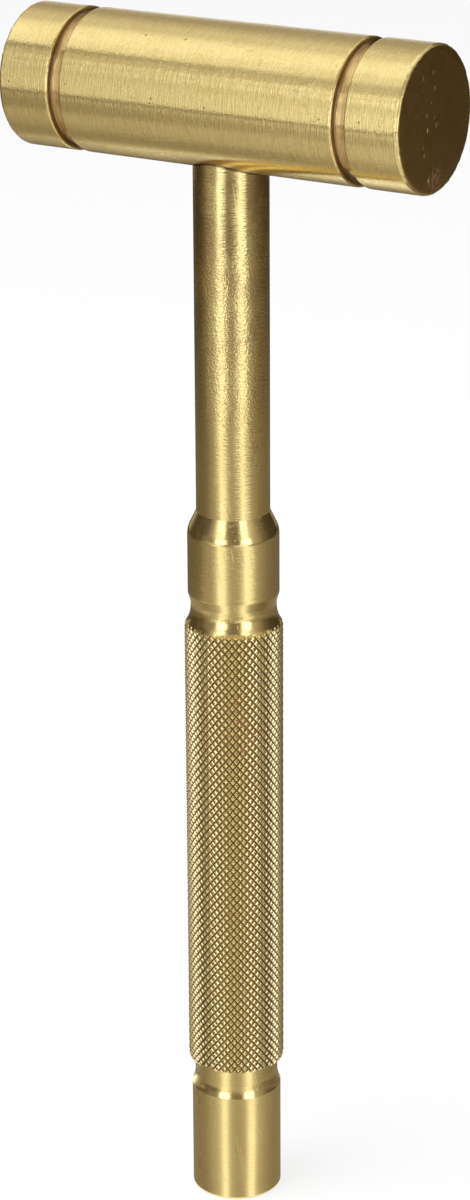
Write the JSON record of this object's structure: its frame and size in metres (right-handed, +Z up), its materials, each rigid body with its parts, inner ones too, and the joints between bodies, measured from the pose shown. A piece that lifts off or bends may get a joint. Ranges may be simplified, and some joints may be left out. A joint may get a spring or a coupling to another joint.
{
  "type": "brass hammer",
  "caption": "Turned brass hammer: a cylindrical double-faced head with a ring groove near each face, on a one-piece handle with a diamond-knurled grip.",
  "frame": {"origin": "centre of the flat end of the pommel, which the hammer stands on", "axes": "+Z up along the handle to the head, +X along the head towards one striking face, +Y across the head"},
  "size_m": [0.0886, 0.028, 0.2479],
  "materials": {
    "head_brass": "satin, turned and brushed round the head's axis, with light scratches and pits",
    "handle_brass": "fine turned finish, brushed round the handle's axis, with a rolled diamond knurl on the grip"
  },
  "bodies": {
    "root": {"hammer_head": "head_brass", "handle": "handle_brass"}
  },
  "joints": []
}
